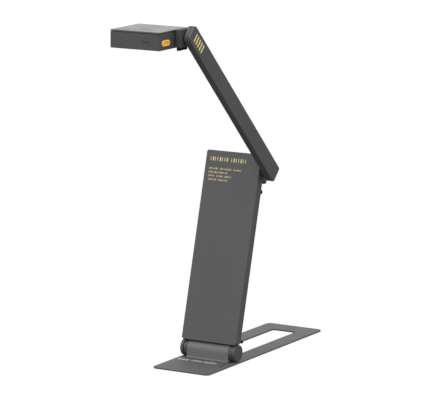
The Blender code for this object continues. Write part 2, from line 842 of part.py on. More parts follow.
def main():
    base = axis_empty("base_frame", (0, 0, 0))
    stand = axis_empty("base_hinge_axis", (0, 0, HINGE_HEIGHT), -STAND_LEAN)
    arm = axis_empty("elbow_axis", (0, ELBOW_DEPTH, ELBOW_HEIGHT), STAND_LEAN + ARM_FROM_VERTICAL, stand)
    head = axis_empty("wrist_axis", (0, 0, ARM_REACH), -ARM_FROM_VERTICAL, arm)
    button = axis_empty("focus_button_axis", (HEAD_WIDTH / 2, BUTTON_Y, BUTTON_Z), 0, head)
    plate = make_base_plate(base)
    make_hinge_bracket(base, plate)
    make_base_hinge(base, stand)
    back = make_stand_covers(stand)
    make_stand_inside(stand, back)
    make_stand_rear_details(stand, back)
    make_arm(arm)
    make_wrist(head)
    shell = make_head_shells(head)
    make_head_inside(head, shell)
    make_light_window(head)
    make_focus_button(button)


main()
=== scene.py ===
"""Looks for the folding document camera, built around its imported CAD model.

Each visible CAD node gets a finer piece that stands for it, and each other node a material. Shapes are in
millimetres, in the frame of the body that they ride on: the base's frame stands on the table, the stand's
and the arm's lie along them, and the head's is level. Their sizes come from the CAD nodes.
"""

import json
import math

import bmesh
import bpy
from mathutils import Matrix, Vector


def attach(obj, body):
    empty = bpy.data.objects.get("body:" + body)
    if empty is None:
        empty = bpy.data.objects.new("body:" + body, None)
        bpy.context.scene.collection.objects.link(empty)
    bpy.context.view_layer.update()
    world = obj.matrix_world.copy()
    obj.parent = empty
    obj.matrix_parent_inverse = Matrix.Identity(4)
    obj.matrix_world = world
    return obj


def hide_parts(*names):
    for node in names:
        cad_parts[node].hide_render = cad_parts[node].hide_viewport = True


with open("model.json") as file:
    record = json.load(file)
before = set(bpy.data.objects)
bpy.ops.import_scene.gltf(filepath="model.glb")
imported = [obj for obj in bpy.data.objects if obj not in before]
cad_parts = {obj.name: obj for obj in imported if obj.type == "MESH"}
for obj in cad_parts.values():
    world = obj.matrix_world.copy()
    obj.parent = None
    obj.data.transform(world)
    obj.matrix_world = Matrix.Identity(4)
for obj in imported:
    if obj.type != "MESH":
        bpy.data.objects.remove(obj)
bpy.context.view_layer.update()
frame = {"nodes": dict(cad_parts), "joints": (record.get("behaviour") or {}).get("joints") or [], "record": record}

MM = 0.001
GAP = 0.3
WALL = 1.5  # of the stand's and the head's covers
ARM_WALL = 1.3

PLATE_CORNER = 5.0
SLOT_LOW = Vector((-13.85, 16.0, 0.0))
SLOT_HIGH = Vector((13.85, 149.3, 0.0))
SLOT_CORNER = 3.0
PAD_CORNER = 3.0

HINGE_HEIGHT = 10.8
HINGE_AT = (0, HINGE_HEIGHT)
BARREL_RADIUS = 8.1
BARREL_FLARE = 1.5
KNUCKLE_RADIUS = 8.5
BASE_BORE = 3.3

STAND_LEAN = 15.26  # degrees back from upright
STAND_CORNER = 2.6
STAND_FLOOR = 2.0
STAND_BACK = 1.32
HOUSING_BOTTOM = 172.4
GROMMET_AT = (0.0, 26.0)
GROMMET_BORE = 1.8

ARM_LEAN = 45.0  # degrees forward from upright
ARM_REACH = 212.0
ARM_CORNER = 2.4
ARM_NOSE = 6.5
ELBOW_AT = (0.9, 186.7)
ELBOW_BORE = 2.8
BOSS_RADIUS = 7.5

HEAD_CORNER = 0.7
HEAD_INNER_CORNER = 0.6
HEAD_SEAM = 7.1
WRIST_BORE = 2.5
WASHER_RADIUS = 6.5
LENS_AT = (0, -17.0)
BEZEL_RADIUS = 9.0
INK = 0.03  # thickness of the print on faces that reach the model's outer limits

BODY_OF = {node: body for body, nodes in frame["record"]["behaviour"]["bodies"].items() for node in nodes}
SLOT_OF = {part["node"]: part["material_slot"] for part in frame["record"]["subparts"]}


def joint_point(name):
    return Vector(next(joint["pos_m"] for joint in frame["joints"] if joint["name"] == name))


def leaning(point, degrees):
    return Matrix.Translation(point) @ Matrix.Rotation(math.radians(degrees), 4, "X")


HEAD_PLACE = leaning(joint_point("wrist_tilt"), 0)
PLACES = {
    "base": Matrix.Identity(4),
    "stand": leaning(joint_point("stand_tilt"), -STAND_LEAN),
    "arm": leaning(joint_point("elbow_fold"), ARM_LEAN),
    "head": HEAD_PLACE,
    "button": HEAD_PLACE,
}


def cad_box(node):
    """The low and high corners of a CAD node in its body's frame, in millimetres."""
    back = PLACES[BODY_OF[node]].inverted()
    points = [back @ vertex.co / MM for vertex in frame["nodes"][node].data.vertices]
    low = Vector([min(point[i] for point in points) for i in range(3)])
    high = Vector([max(point[i] for point in points) for i in range(3)])
    return low, high


# Shapes


def close_to(value, other):
    return abs(value - other) < 1e-3


def round_loop(bm, index, plane, width, steps):
    """Rounds the edges of the end face that lies across an axis at that height."""
    edges = [edge for edge in bm.edges if all(close_to(vert.co[index], plane) for vert in edge.verts)]
    if width and edges:
        bmesh.ops.bevel(bm, geom=edges, offset=width, segments=steps, profile=0.5, affect="EDGES")


def block(low, high, axis="Z", radius=0.0, steps=8, low_edge=0.0, high_edge=0.0, edge_steps=4):
    """A box, rounded along one axis, with the edges of its two end faces rounded too."""
    low, high = Vector(low), Vector(high)
    index = "XYZ".index(axis)
    bm = bmesh.new()
    bmesh.ops.create_cube(bm, size=1.0)
    bmesh.ops.scale(bm, vec=high - low, verts=bm.verts)
    bmesh.ops.translate(bm, vec=(low + high) / 2, verts=bm.verts)
    if radius:
        edges = [edge for edge in bm.edges if not close_to(edge.verts[0].co[index], edge.verts[1].co[index])]
        bmesh.ops.bevel(bm, geom=edges, offset=radius, segments=steps, profile=0.5, affect="EDGES")
    round_loop(bm, index, low[index], low_edge, edge_steps)
    round_loop(bm, index, high[index], high_edge, edge_steps)
    return bm


def arc(centre, radius, start, end, steps):
    angles = (math.radians(start + (end - start) * i / steps) for i in range(steps + 1))
    return [(centre[0] + radius * math.cos(a), centre[1] + radius * math.sin(a)) for a in angles]


def bar(points, low, high, low_edge=0.0, high_edge=0.0, edge_steps=4):
    """A bar along X whose section is an outline of (y, z) points."""
    bm = bmesh.new()
    face = bm.faces.new([bm.verts.new((low, y, z)) for y, z in points])
    made = bmesh.ops.extrude_face_region(bm, geom=[face])
    moved = [item for item in made["geom"] if isinstance(item, bmesh.types.BMVert)]
    bmesh.ops.translate(bm, vec=(high - low, 0, 0), verts=moved)
    round_loop(bm, 0, low, low_edge, edge_steps)
    round_loop(bm, 0, high, high_edge, edge_steps)
    return bm


def turned(profile, axis="Z", at=(0.0, 0.0), steps=64, closed=False, flip=False):
    """A profile of (radius, height) points, turned round an axis that passes through the point at."""
    bm = bmesh.new()
    verts = [bm.verts.new((radius, 0, height)) for radius, height in profile]
    pairs = list(zip(verts, verts[1:])) + ([(verts[-1], verts[0])] if closed else [])
    edges = [bm.edges.new(pair) for pair in pairs]
    bmesh.ops.spin(
        bm, geom=verts + edges, cent=(0, 0, 0), axis=(0, 0, 1), angle=2 * math.pi, steps=steps, use_merge=True
    )
    bmesh.ops.remove_doubles(bm, verts=bm.verts, dist=1e-4)
    if flip:
        bmesh.ops.rotate(bm, cent=(0, 0, 0), matrix=Matrix.Rotation(math.pi, 3, "X"), verts=bm.verts)
    if axis == "X":
        bmesh.ops.rotate(bm, cent=(0, 0, 0), matrix=Matrix.Rotation(math.pi / 2, 3, "Y"), verts=bm.verts)
        place = (0, at[0], at[1])
    elif axis == "Y":
        bmesh.ops.rotate(bm, cent=(0, 0, 0), matrix=Matrix.Rotation(-math.pi / 2, 3, "X"), verts=bm.verts)
        place = (at[0], 0, at[1])
    else:
        place = (at[0], at[1], 0)
    bmesh.ops.translate(bm, vec=place, verts=bm.verts)
    return bm


def rod(radius, start, end, axis="X", at=(0.0, 0.0), edge=0.0, bore=0.0, steps=64, start_edge=None):
    """A cylinder with rounded ends, and a bore right through it if one is given."""
    first = edge if start_edge is None else start_edge
    profile = [(bore, start)]
    profile += arc((radius - first, start + first), first, -90, 0, 4) if first else [(radius, start)]
    profile += arc((radius - edge, end - edge), edge, 0, 90, 4) if edge else [(radius, end)]
    profile += [(bore, end)]
    return turned(profile, axis, at, steps, closed=bool(bore))


def mirrored(bm):
    bmesh.ops.scale(bm, vec=(-1, 1, 1), verts=bm.verts)
    return bm


def sided(bm, side):
    return mirrored(bm) if side < 0 else bm


def several(blocks):
    """Separate shapes in one mesh, such as a row of printed dashes."""
    bm = bmesh.new()
    for other in blocks:
        mesh = bpy.data.meshes.new("row")
        other.to_mesh(mesh)
        other.free()
        bm.from_mesh(mesh)
        bpy.data.meshes.remove(mesh)
    return bm


def bare_object(name, bm, body):
    """An object of the shape, moved to its body's place. It frees the bmesh."""
    bmesh.ops.recalc_face_normals(bm, faces=bm.faces)
    if bm.calc_volume(signed=True) < 0:
        bmesh.ops.reverse_faces(bm, faces=bm.faces)
    bmesh.ops.transform(bm, matrix=PLACES[body] @ Matrix.Scale(MM, 4), verts=bm.verts)
    mesh = bpy.data.meshes.new(name)
    bm.to_mesh(mesh)
    bm.free()
    thing = bpy.data.objects.new(name, mesh)
    bpy.context.scene.collection.objects.link(thing)
    return thing


def carve(thing, body, cuts, joins):
    """Applies the Booleans, joins first, and removes the shapes that they used."""
    helpers = []
    for operation, shapes in (("UNION", joins), ("DIFFERENCE", cuts)):
        for bm in shapes:
            helper = bare_object("helper", bm, body)
            boolean = thing.modifiers.new("boolean", "BOOLEAN")
            boolean.operation = operation
            boolean.object = helper
            helpers.append(helper)
    if not helpers:
        return
    bpy.context.view_layer.update()
    evaluated = thing.evaluated_get(bpy.context.evaluated_depsgraph_get())
    mesh = bpy.data.meshes.new_from_object(evaluated)
    thing.modifiers.clear()
    thing.data = mesh
    for helper in helpers:
        bpy.data.objects.remove(helper)


def piece(name, bm, node=None, body=None, material=None, cuts=(), joins=(), sharp=32, slot=None):
    """A visible piece. With a node it stands for that CAD node and takes its body, and the material of its slot
    when no other is given.
    """
    body = body or BODY_OF[node]
    slot = slot or SLOT_OF[node]
    thing = bare_object(name, bm, body)
    carve(thing, body, cuts, joins)
    mesh = thing.data
    mesh.name = name
    mesh.materials.clear()
    mesh.materials.append(MATERIALS[material or slot])
    mesh.shade_smooth()
    mesh.set_sharp_from_angle(angle=math.radians(sharp))
    normals = thing.modifiers.new("flat_faces_stay_flat", "WEIGHTED_NORMAL")
    normals.keep_sharp = True
    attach(thing, body)
    if node:
        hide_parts(node)
    return thing


# Materials


class Surface:
    """A Principled material that is built up from procedural nodes in the piece's own coordinates."""

    def __init__(self, name):
        self.material = bpy.data.materials.new(name)
        self.material.use_nodes = True
        self.tree = self.material.node_tree
        self.tree.nodes.clear()
        self.output = self.node("ShaderNodeOutputMaterial")
        self.shader = self.node("ShaderNodeBsdfPrincipled")
        self.link(self.shader.outputs["BSDF"], self.output.inputs["Surface"])
        self.place = self.node("ShaderNodeTexCoord").outputs["Object"]

    def node(self, kind, **settings):
        made = self.tree.nodes.new(kind)
        for name, value in settings.items():
            setattr(made, name, value)
        return made

    def link(self, source, target):
        self.tree.links.new(source, target)

    def noise(self, size_mm, detail=2.0, stretch=(1, 1, 1)):
        """Noise of about that grain, from 0 to 1."""
        mapping = self.node("ShaderNodeMapping")
        mapping.inputs["Scale"].default_value = stretch
        self.link(self.place, mapping.inputs["Vector"])
        noise = self.node("ShaderNodeTexNoise")
        noise.inputs["Scale"].default_value = 1 / (size_mm * MM)
        noise.inputs["Detail"].default_value = detail
        self.link(mapping.outputs["Vector"], noise.inputs["Vector"])
        return noise.outputs["Fac"]

    def remap(self, value, low, high, out_low, out_high):
        made = self.node("ShaderNodeMapRange")
        for name, number in zip(("From Min", "From Max", "To Min", "To Max"), (low, high, out_low, out_high)):
            made.inputs[name].default_value = number
        self.link(value, made.inputs["Value"])
        return made.outputs["Result"]

    def math(self, operation, first, second):
        made = self.node("ShaderNodeMath", operation=operation)
        for socket, value in zip(made.inputs, (first, second)):
            if isinstance(value, (int, float)):
                socket.default_value = value
            else:
                self.link(value, socket)
        return made.outputs["Value"]

    def mix(self, factor, first, second):
        """Mixes two colours, each a tuple or an output."""
        made = self.node("ShaderNodeMix", data_type="RGBA")
        self.link(factor, made.inputs["Factor"])
        for socket, value in ((made.inputs[6], first), (made.inputs[7], second)):
            if isinstance(value, tuple):
                socket.default_value = (*value, 1.0)
            else:
                self.link(value, socket)
        return made.outputs[2]

    def bump(self, height, distance_mm, strength=1.0, below=None):
        made = self.node("ShaderNodeBump")
        made.inputs["Distance"].default_value = distance_mm * MM
        made.inputs["Strength"].default_value = strength
        self.link(height, made.inputs["Height"])
        if below is not None:
            self.link(below, made.inputs["Normal"])
        return made.outputs["Normal"]

    def edges(self, reach_mm):
        """From 0 on flat faces to 1 along edges."""
        rounded = self.node("ShaderNodeBevel", samples=4)
        rounded.inputs["Radius"].default_value = reach_mm * MM
        true = self.node("ShaderNodeNewGeometry")
        alike = self.node("ShaderNodeVectorMath", operation="DOT_PRODUCT")
        self.link(rounded.outputs["Normal"], alike.inputs[0])
        self.link(true.outputs["Normal"], alike.inputs[1])
        return self.remap(alike.outputs["Value"], 0.995, 0.85, 0.0, 1.0)

    def set(self, **values):
        for name, value in values.items():
            socket = self.shader.inputs[name.replace("_", " ")]
            if isinstance(value, bpy.types.NodeSocket):
                self.link(value, socket)
            elif socket.type == "RGBA":
                socket.default_value = (*value, 1.0)
            else:
                socket.default_value = value
        return self.material


def shade(colour, factor):
    return tuple(channel * factor for channel in colour)


def matte_paint(name, colour, roughness, specular=0.5, grain=0.35, metallic=0.0, wear=0.25, relief=0.012):
    """Fine matte paint or moulded plastic: a faint grain, slow mottling and slightly paler edges."""
    s = Surface(name)
    fine = s.noise(grain, 3.0)
    slow = s.noise(38.0, 3.0)
    smear = s.noise(16.0, 4.0, (1, 1, 0.35))
    base = s.mix(s.remap(fine, 0.3, 0.7, 0.0, 1.0), shade(colour, 0.9), shade(colour, 1.1))
    base = s.mix(s.remap(slow, 0.35, 0.65, 0.0, 0.3), base, shade(colour, 1.16))
    if wear:
        base = s.mix(s.math("MULTIPLY", s.edges(0.5), wear), base, shade(colour, 2.0))
    gloss = s.math(
        "ADD",
        s.remap(smear, 0.3, 0.7, roughness - 0.05, roughness + 0.05),
        s.remap(fine, 0.3, 0.7, -0.03, 0.03),
    )
    normal = s.bump(fine, relief)
    return s.set(
        Base_Color=base, Roughness=gloss, Normal=normal, Specular_IOR_Level=specular, Metallic=metallic
    )


def soft_rubber(name, colour):
    """Black rubber with a fine pebbled grain and a little pale dust."""
    s = Surface(name)
    pebble = s.noise(0.7, 2.0)
    dust = s.noise(7.0, 5.0)
    base = s.mix(s.remap(dust, 0.5, 0.75, 0.0, 0.25), colour, shade(colour, 3.0))
    gloss = s.remap(pebble, 0.3, 0.7, 0.72, 0.9)
    return s.set(Base_Color=base, Roughness=gloss, Normal=s.bump(pebble, 0.05), Specular_IOR_Level=0.35)


def brushed_steel(name, colour, roughness, stretch=(1, 14, 14)):
    """Machined steel: fine lines along X, with a few darker streaks."""
    s = Surface(name)
    lines = s.noise(2.4, 3.0, stretch)
    streaks = s.noise(9.0, 2.0, (1, 5, 5))
    base = s.mix(s.remap(lines, 0.3, 0.7, 0.0, 1.0), shade(colour, 0.82), shade(colour, 1.1))
    base = s.mix(s.remap(streaks, 0.55, 0.8, 0.0, 0.3), base, shade(colour, 0.6))
    gloss = s.remap(lines, 0.3, 0.7, roughness - 0.08, roughness + 0.1)
    return s.set(Base_Color=base, Roughness=gloss, Metallic=1.0, Normal=s.bump(lines, 0.006))


def amber_plastic(name, colour, roughness, painted_glow):
    """Glossy tinted plastic with light coming a little way through it, and a faint emission that paints a glow on
    it.
    """
    s = Surface(name)
    cloud = s.noise(2.2, 2.0)
    fine = s.noise(0.3, 2.0)
    base = s.mix(s.remap(cloud, 0.3, 0.7, 0.0, 1.0), shade(colour, 0.9), shade(colour, 1.12))
    gloss = s.remap(fine, 0.3, 0.7, roughness - 0.05, roughness + 0.05)
    return s.set(
        Base_Color=base,
        Roughness=gloss,
        Normal=s.bump(fine, 0.004),
        Subsurface_Weight=0.15,
        Subsurface_Radius=(0.0012, 0.0006, 0.0002),
        Subsurface_Scale=1.0,
        Emission_Color=colour,
        Emission_Strength=painted_glow,
    )


def printed_ink(name, colour):
    """Screen-printed ink: slightly broken coverage and a satin finish."""
    s = Surface(name)
    speckle = s.noise(0.22, 2.0)
    base = s.mix(s.remap(speckle, 0.35, 0.6, 0.0, 1.0), shade(colour, 0.78), colour)
    gloss = s.remap(speckle, 0.3, 0.7, 0.35, 0.5)
    return s.set(Base_Color=base, Roughness=gloss, Normal=s.bump(speckle, 0.008))


def coated_glass(name):
    """A dark lens surface whose coating drifts between violet and green, under a clear gloss."""
    s = Surface(name)
    drift = s.noise(5.0, 1.0)
    base = s.mix(s.remap(drift, 0.35, 0.65, 0.0, 1.0), (0.018, 0.01, 0.035), (0.008, 0.03, 0.022))
    return s.set(
        Base_Color=base, Roughness=s.remap(drift, 0.3, 0.7, 0.02, 0.05), Coat_Weight=1.0, Coat_Roughness=0.02
    )


def frosted_window(name):
    s = Surface(name)
    frost = s.noise(0.25, 2.0)
    base = s.mix(s.remap(frost, 0.3, 0.7, 0.0, 1.0), (0.66, 0.66, 0.63), (0.78, 0.78, 0.76))
    return s.set(
        Base_Color=base,
        Roughness=s.remap(frost, 0.3, 0.7, 0.3, 0.5),
        Normal=s.bump(frost, 0.02),
        Subsurface_Weight=0.3,
        Subsurface_Radius=(0.001, 0.001, 0.001),
        Subsurface_Scale=1.0,
    )


def solder_mask(name):
    """Green board with a grid of slightly lighter tracks."""
    s = Surface(name)
    tracks = s.node("ShaderNodeTexBrick")
    tracks.inputs["Scale"].default_value = 260.0
    tracks.inputs["Mortar Size"].default_value = 0.035
    tracks.inputs["Color1"].default_value = (0.012, 0.09, 0.035, 1)
    tracks.inputs["Color2"].default_value = (0.016, 0.11, 0.045, 1)
    tracks.inputs["Mortar"].default_value = (0.05, 0.2, 0.09, 1)
    s.link(s.place, tracks.inputs["Vector"])
    gloss = s.remap(tracks.outputs["Fac"], 0, 1, 0.4, 0.25)
    return s.set(Base_Color=tracks.outputs["Color"], Roughness=gloss)


GRAPHITE = (0.0725, 0.0725, 0.0765)
MATERIALS = {
    "graphite": matte_paint("graphite", GRAPHITE, 0.5),
    "graphite_dark": matte_paint("graphite_dark", shade(GRAPHITE, 0.8), 0.45),
    "head_top": matte_paint("head_top", shade(GRAPHITE, 1.1), 0.27),
    "painted_steel": matte_paint("painted_steel", shade(GRAPHITE, 1.27), 0.62, 0.45, grain=0.5, relief=0.02),
    # The bracket's painted steel is the plate's made about half again as light, which paints the brighter light on
    # its front into its colour.
    "bracket_steel_painted_light": matte_paint("bracket_steel_painted_light", shade(GRAPHITE, 1.95), 0.55, 0.45, grain=0.5, relief=0.02),
    "wrist_paint": matte_paint("wrist_paint", shade(GRAPHITE, 0.9), 0.66, 0.4),
    "mesh_paint": matte_paint("mesh_paint", shade(GRAPHITE, 0.92), 0.6, 0.4),
    "rubber": soft_rubber("rubber", (0.014, 0.014, 0.015)),
    "black_plastic": matte_paint("black_plastic", (0.006, 0.006, 0.0065), 0.42, 0.4, wear=0.1),
    "seam_shadow": soft_rubber("seam_shadow", (0.008, 0.008, 0.009)),
    "steel": brushed_steel("steel", (0.5, 0.5, 0.51), 0.32),
    "zinc_screw": brushed_steel("zinc_screw", (0.16, 0.16, 0.165), 0.38, (3, 3, 3)),
    "board_green": solder_mask("board_green"),
    "sensor": coated_glass("sensor"),
    "lens_glass": coated_glass("lens_glass"),
    # Both ambers have a faint painted glow from emission.
    "amber": amber_plastic("amber", (0.95, 0.42, 0.016), 0.35, 0.12),
    "amber_rim": amber_plastic("amber_rim", (0.98, 0.62, 0.17), 0.3, 0.12),
    "gold_ink": printed_ink("gold_ink", (0.82, 0.66, 0.3)),
    "pale_ink": printed_ink("pale_ink", (0.86, 0.78, 0.52)),
    "faint_ink": printed_ink("faint_ink", (0.16, 0.14, 0.1)),
    "bright_ink": printed_ink("bright_ink", (1.0, 0.82, 0.3)),
    "diffuser": frosted_window("diffuser"),
}


# Fasteners


def screw_shape(length, head_radius=2.0, shank_radius=0.88, pitch=0.45):
    """A countersunk screw whose head is at 0 and whose ridged shank runs up to its tip."""
    profile = [(0, 0), (head_radius - 0.12, 0), (head_radius, 0.1), (head_radius, 0.18), (shank_radius, 1.05)]
    height = 1.2
    while height < length - 0.7:
        profile += [(shank_radius, height), (shank_radius - 0.16, height + pitch / 2)]
        height += pitch
    profile += [(shank_radius, length - 0.4), (shank_radius * 0.6, length), (0, length)]
    return profile


def screw(node, axis, head_at_high=False):
    """A cross-recessed screw in place of the CAD one, which lies along that axis of its body."""
    low, high = cad_box(node)
    index = "XYZ".index(axis)
    length = high[index] - low[index]
    at = [(low[i] + high[i]) / 2 for i in range(3) if i != index]
    shape = turned(screw_shape(length), axis, at, steps=24, flip=head_at_high)
    head = high[index] if head_at_high else low[index]
    shift = [0.0, 0.0, 0.0]
    shift[index] = head
    bmesh.ops.translate(shape, vec=shift, verts=shape.verts)
    cuts = []
    depth, arm, half = 0.7, 1.15, 0.24
    others = [i for i in range(3) if i != index]
    for wide, narrow in (others, others[::-1]):
        middle = (low + high) / 2
        span_low, span_high = middle.copy(), middle.copy()
        span_low[index], span_high[index] = head - depth, head + depth
        span_low[wide], span_high[wide] = middle[wide] - arm, middle[wide] + arm
        span_low[narrow], span_high[narrow] = middle[narrow] - half, middle[narrow] + half
        cuts.append(block(span_low, span_high))
    return piece(node + "_fine", shape, node, cuts=cuts)


def countersink(at, head, depth, axis="Z", towards=1):
    """The hole for such a screw: a cone that opens at head, and a shank hole of that depth."""
    profile = [(0, -0.8), (2.45, -0.8), (2.3, 0.0), (2.3, 0.25), (1.2, 1.3), (1.2, depth), (0, depth)]
    shape = turned(profile, axis, at, steps=32, flip=towards < 0)
    shift = [0.0, 0.0, 0.0]
    shift["XYZ".index(axis)] = head
    bmesh.ops.translate(shape, vec=shift, verts=shape.verts)
    return shape


# Printing: rows of plain upright dashes


def dashes(start, end, pitch, widths, breaks=()):
    """The spans of a row of dashes that take their widths in turn, leaving out those in a break."""
    count = int((end - start - max(widths)) / pitch) + 1
    spans = [(start + i * pitch, start + i * pitch + widths[i % len(widths)]) for i in range(count)]
    return [span for span in spans if not any(low < span[0] < high for low, high in breaks)]


def print_row(name, body, spans, across, face, along=0, thickness=0.04, ink="gold_ink"):
    """One row of dashes on a face. The face is (axis, height, outward sign), and across the dashes' reach."""
    axis, height, outward = face
    rise = 3 - along - axis
    blocks = []
    for start, end in spans:
        low, high = Vector((0, 0, 0)), Vector((0, 0, 0))
        low[along], high[along] = start, end
        low[rise], high[rise] = across
        low[axis], high[axis] = sorted((height, height + outward * thickness))
        blocks.append(block(low, high, "XYZ"[axis], min(0.2, (end - start) * 0.3), 2))
    return piece(name, several(blocks), body=body, material=ink, slot="amber")


# Base


def make_base():
    low, high = cad_box("base_plate")
    chamfer = 0.35
    wider = Vector((chamfer, chamfer, 0))
    cuts = [
        block(SLOT_LOW - Vector((0, 0, 1)), SLOT_HIGH + Vector((0, 0, 4)), "Z", SLOT_CORNER, 8),
        block(
            SLOT_LOW - wider + Vector((0, 0, high.z - chamfer)),
            SLOT_HIGH + wider + Vector((0, 0, high.z + 1)),
            "Z",
            SLOT_CORNER + chamfer,
            8,
            low_edge=chamfer - 0.01,
            edge_steps=1,
        ),
    ]
    for name in ("front_pad", "left_pad", "right_pad", "rear_pad"):
        pad_low, pad_high = cad_box(name)
        room = Vector((GAP, GAP, 0))
        pocket_low = pad_low - room - Vector((0, 0, 1))
        pocket_high = pad_high + room + Vector((0, 0, GAP))
        cuts.append(block(pocket_low, pocket_high, "Z", PAD_CORNER + GAP, 5))
        pad = block(pad_low, pad_high, "Z", PAD_CORNER, 6, low_edge=0.18, high_edge=0.05, edge_steps=2)
        piece(name + "_fine", pad, name)
    plate = block(low, high, "Z", PLATE_CORNER, 14, low_edge=0.3, high_edge=0.4)
    notch_low, notch_high = Vector((24.2, -25.3, high.z - 0.4)), Vector((26.1, -14.8, high.z + 1))
    cuts.append(block(notch_low, notch_high, "Z", 0.6, 4))
    piece("base_plate_fine", plate, "base_plate", cuts=cuts)
    # A near-black sheet set into the shallow notch paints the shade in it.
    margin = Vector((0.05, 0.05, 0))
    floor_low = notch_low + margin - Vector((0, 0, 0.1))
    floor_high = Vector((notch_high.x, notch_high.y, high.z - 0.25)) - margin
    notch_painted_shade = block(floor_low, floor_high)
    piece("plate_notch_painted_shade", notch_painted_shade, body="base", material="seam_shadow", slot="painted_steel")
    row = dashes(-28.4, 17.3, 1.5, (0.55, 0.8, 0.45), [(-15.2, -12.9), (-1.2, 0.6)])
    print_row("plate_print", "base", row, (-20.2, -14.7), (2, high.z, 1), ink="pale_ink")


def make_hinge_bracket():
    """A barrel on flat feet, whose front foot sweeps out over the plate in a small fillet."""
    low, high = cad_box("hinge_bracket")
    barrel = [(-BARREL_RADIUS, low.z)] + arc(HINGE_AT, BARREL_RADIUS, 180, 0, 48) + [(BARREL_RADIUS, low.z)]
    front = -BARREL_RADIUS - BARREL_FLARE
    fillet_at = (front, low.z + 0.1 + BARREL_FLARE)
    foot = [(front, low.z)] + arc(fillet_at, BARREL_FLARE, 270, 360, 8)
    foot += [(1 - BARREL_RADIUS, fillet_at[1]), (1 - BARREL_RADIUS, low.z)]
    # Its lighter copy of the plate's painted steel paints the brighter light on its front.
    piece(
        "hinge_bracket_fine",
        bar(barrel, low.x, high.x, 0.45, 0.45),
        "hinge_bracket",
        material="bracket_steel_painted_light",
        cuts=[rod(BASE_BORE, low.x - 1, high.x + 1, at=HINGE_AT)],
        joins=[bar(foot, low.x, high.x)],
    )


def make_base_hinge(name, side):
    """A friction ring and the knuckle outside it, with the tab that holds the knuckle to the stand."""
    node = f"friction_ring_{name}"
    low, high = cad_box(node)
    ring = rod((high.z - low.z) / 2, low.x, high.x, at=HINGE_AT, edge=0.45, bore=BASE_BORE)
    piece(node + "_fine", ring, node)
    node = f"knuckle_{name}"
    low, high = cad_box(node)
    inner, outer = sorted((abs(low.x), abs(high.x)))
    inner_edge, outer_edge = 0.3, 0.4
    bore_end = 30.4
    profile = [(0, bore_end), (BASE_BORE, bore_end), (BASE_BORE, inner)]
    profile += arc((KNUCKLE_RADIUS - inner_edge, inner + inner_edge), inner_edge, -90, 0, 4)
    profile += arc((KNUCKLE_RADIUS - outer_edge, outer - outer_edge), outer_edge, 0, 90, 5)
    profile += [(0, outer)]
    tab = block((inner + GAP, -5.6, 2.0), (inner + 1.6, -4.1, 36.0))
    piece(node + "_fine", sided(turned(profile, "X"), side), node, joins=[sided(tab, side)])


# Stand


def stand_cuts(low, high):
    """What is cut from both covers of the stand: room for the base hinge, and the elbow pin's hole."""
    return [
        rod(KNUCKLE_RADIUS + 0.4, low.x - 1, high.x + 1),
        rod(ELBOW_BORE, high.x - WALL - 1, high.x + 1, at=ELBOW_AT),
    ]


def make_stand_front():
    low, high = cad_box("stand_front_cover")
    hollow_low = low + Vector((WALL, WALL, STAND_FLOOR))
    hollow_high = high + Vector((-WALL, 1, -WALL))
    cuts = [block(hollow_low, hollow_high, "Y", STAND_CORNER - 1.2, 3), *stand_cuts(low, high)]
    for side in (-1, 1):
        cuts.append(sided(block((28.3, -6.0, 6.0), (30.2, -3.7, 12.0)), side))
    front = block(low, high, "Y", STAND_CORNER, 10, low_edge=0.45, high_edge=0.2)
    piece("stand_front_cover_fine", front, "stand_front_cover", cuts=cuts)


def make_stand_back():
    """The flat back with the housing for the elbow, the screws' seats and a shallow label recess."""
    low, high = cad_box("stand_back_cover")
    back = block(low, (high.x, STAND_BACK, high.z), "Y", STAND_CORNER, 10, low_edge=0.25, high_edge=0.3)
    housing_low = Vector((low.x, low.y, HOUSING_BOTTOM))
    housing = block(housing_low, high, "Y", STAND_CORNER, 10, low_edge=0.1, high_edge=0.6)
    hollow_low = housing_low + Vector((WALL, -1, WALL))
    cuts = [block(hollow_low, high - Vector((WALL, WALL, WALL)), "Y", STAND_CORNER - 1.2, 3)]
    cuts += stand_cuts(low, high)
    cuts.append(rod(GROMMET_BORE, low.y - 2, 6.0, "Y", at=GROMMET_AT, steps=32))
    for number in range(1, 5):
        node = f"back_screw_{number}"
        screw_low, screw_high = cad_box(node)
        middle = (screw_low + screw_high) / 2
        cuts.append(countersink((middle.x, middle.z), screw_high.y, 6.0, "Y", -1))
        screw(node, "Y", head_at_high=True)
    cuts.append(block((-17.0, STAND_BACK - 0.25, 62.0), (17.0, STAND_BACK + 1, 112.0), "Y", 2.0, 5))
    node = "stand_back_cover"
    piece(node + "_fine", back, node, material="graphite_dark", cuts=cuts, joins=[housing])


def make_stand_rubber():
    """The stops on the stand's back and the grommet."""
    for name in ("left", "right"):
        node = f"lower_stop_{name}"
        piece(node + "_fine", block(*cad_box(node), "Y", 1.2, 5, low_edge=0.1, high_edge=0.7), node)
        node = f"upper_stop_{name}"
        low, high = cad_box(node)
        middle = (low + high) / 2
        radius = (high.x - low.x) / 2
        at = (middle.x, middle.z)
        foot = rod(radius, low.y, high.y, "Y", at, edge=0.6, steps=40, start_edge=0.1)
        piece(node + "_fine", foot, node)
    low, high = cad_box("lead_grommet")
    profile = [(GROMMET_BORE, low.y), (4.2, low.y), (4.2, low.y + 0.7), (3.5, low.y + 1.1)]
    profile += [(3.4, high.y - 0.5)] + arc((2.9, high.y - 0.5), 0.5, 0, 90, 4)
    profile += [(2.1, high.y), (GROMMET_BORE, high.y - 0.3)]
    grommet = turned(profile, "Y", GROMMET_AT, 48, closed=True)
    piece("lead_grommet_fine", grommet, "lead_grommet")


